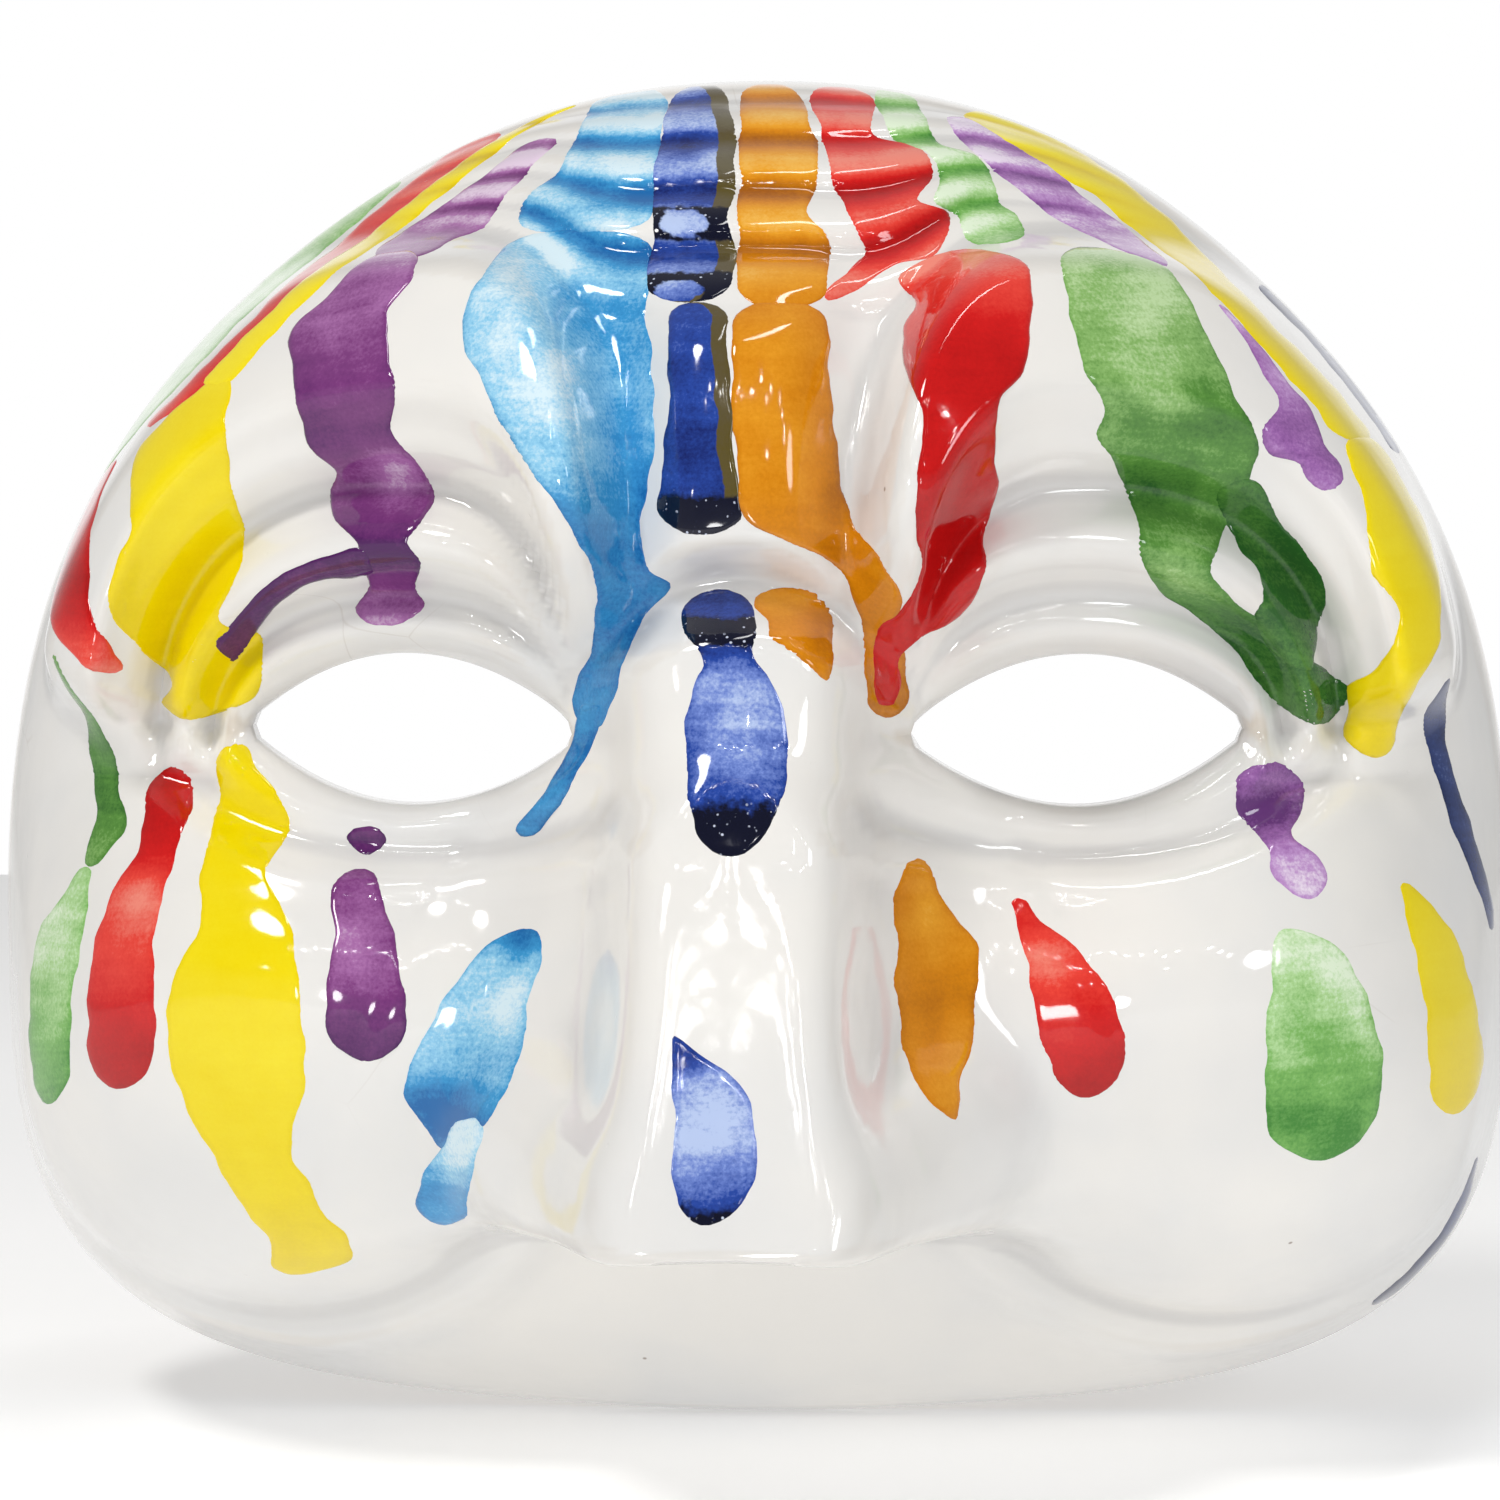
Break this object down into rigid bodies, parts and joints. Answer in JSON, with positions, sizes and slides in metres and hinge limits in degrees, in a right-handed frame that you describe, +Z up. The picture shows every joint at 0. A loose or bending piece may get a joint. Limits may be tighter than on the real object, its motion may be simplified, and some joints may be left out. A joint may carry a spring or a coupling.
{
  "type": "ceramic half mask",
  "caption": "Glazed ceramic carnival half mask with furrowed brow, large nose and open eye holes, painted with running glaze strokes; hangs on a wall by a ring.",
  "frame": {"origin": "middle of the flat back rim's width at its top, on the midline, in the plane of the wall", "axes": "+Z up, the face looks to -Y, +Y into the wall, +X to the right of a person who looks at the mask"},
  "size_m": [0.174, 0.0872, 0.1543],
  "materials": {
    "bare_clay": "unglazed fired clay",
    "glaze_amber": "glossy coloured glaze",
    "glaze_cobalt": "glossy coloured glaze",
    "glaze_green": "glossy coloured glaze",
    "glaze_leaf": "glossy coloured glaze",
    "glaze_lilac": "glossy coloured glaze",
    "glaze_navy": "glossy coloured glaze",
    "glaze_purple": "glossy coloured glaze",
    "glaze_red": "glossy coloured glaze",
    "glaze_sky": "glossy coloured glaze",
    "glaze_yellow": "glossy coloured glaze",
    "steel_wire": "drawn wire",
    "white_glaze": "glossy white glaze"
  },
  "bodies": {
    "mask": {"glaze_amber_cheek": "glaze_amber", "glaze_amber_forehead": "glaze_amber", "glaze_amber_glabella": "glaze_amber", "glaze_amber_nose": "glaze_amber", "glaze_cobalt_forehead": "glaze_cobalt", "glaze_cobalt_glabella": "glaze_cobalt", "glaze_cobalt_nose_drop": "glaze_cobalt", "glaze_cobalt_nose_tip": "glaze_cobalt", "glaze_green_left_cheek": "glaze_leaf", "glaze_green_left_forehead": "glaze_leaf", "glaze_green_left_temple": "glaze_green", "glaze_green_right_arm": "glaze_green", "glaze_green_right_brow": "glaze_green", "glaze_green_right_cheek": "glaze_leaf", "glaze_green_right_forehead": "glaze_leaf", "glaze_lilac_right_brow": "glaze_lilac", "glaze_lilac_right_cheek": "glaze_lilac", "glaze_lilac_right_forehead": "glaze_lilac", "glaze_navy_right_forehead": "glaze_navy", "glaze_navy_right_jaw": "glaze_navy", "glaze_navy_right_temple": "glaze_navy", "glaze_purple_left_arm": "glaze_purple", "glaze_purple_left_brow": "glaze_purple", "glaze_purple_left_cheek": "glaze_purple", "glaze_purple_left_forehead": "glaze_purple", "glaze_purple_left_lid": "glaze_purple", "glaze_red_left_brow": "glaze_red", "glaze_red_left_cheek": "glaze_red", "glaze_red_left_forehead": "glaze_red", "glaze_red_right_brow": "glaze_red", "glaze_red_right_cheek": "glaze_red", "glaze_red_right_forehead": "glaze_red", "glaze_sky_left_brow": "glaze_sky", "glaze_sky_left_cheek": "glaze_sky", "glaze_sky_left_drip": "glaze_sky", "glaze_sky_left_forehead": "glaze_sky", "glaze_sky_left_tear": "glaze_sky", "glaze_yellow_left_brow": "glaze_yellow", "glaze_yellow_left_cheek": "glaze_yellow", "glaze_yellow_left_forehead": "glaze_yellow", "glaze_yellow_right_brow": "glaze_yellow", "glaze_yellow_right_cheek": "glaze_yellow", "glaze_yellow_right_forehead": "glaze_yellow", "hanging_lug": "bare_clay", "mask_shell": "white_glaze"},
    "ring": {"hanging_ring": "steel_wire"}
  },
  "joints": [
    {"name": "ring_swing", "type": "hinge", "parent": "mask", "child": "ring", "pos_m": [0, -0.0085, -0.0178], "axis": [1, 0, 0], "range_deg": [-110, 150]}
  ]
}
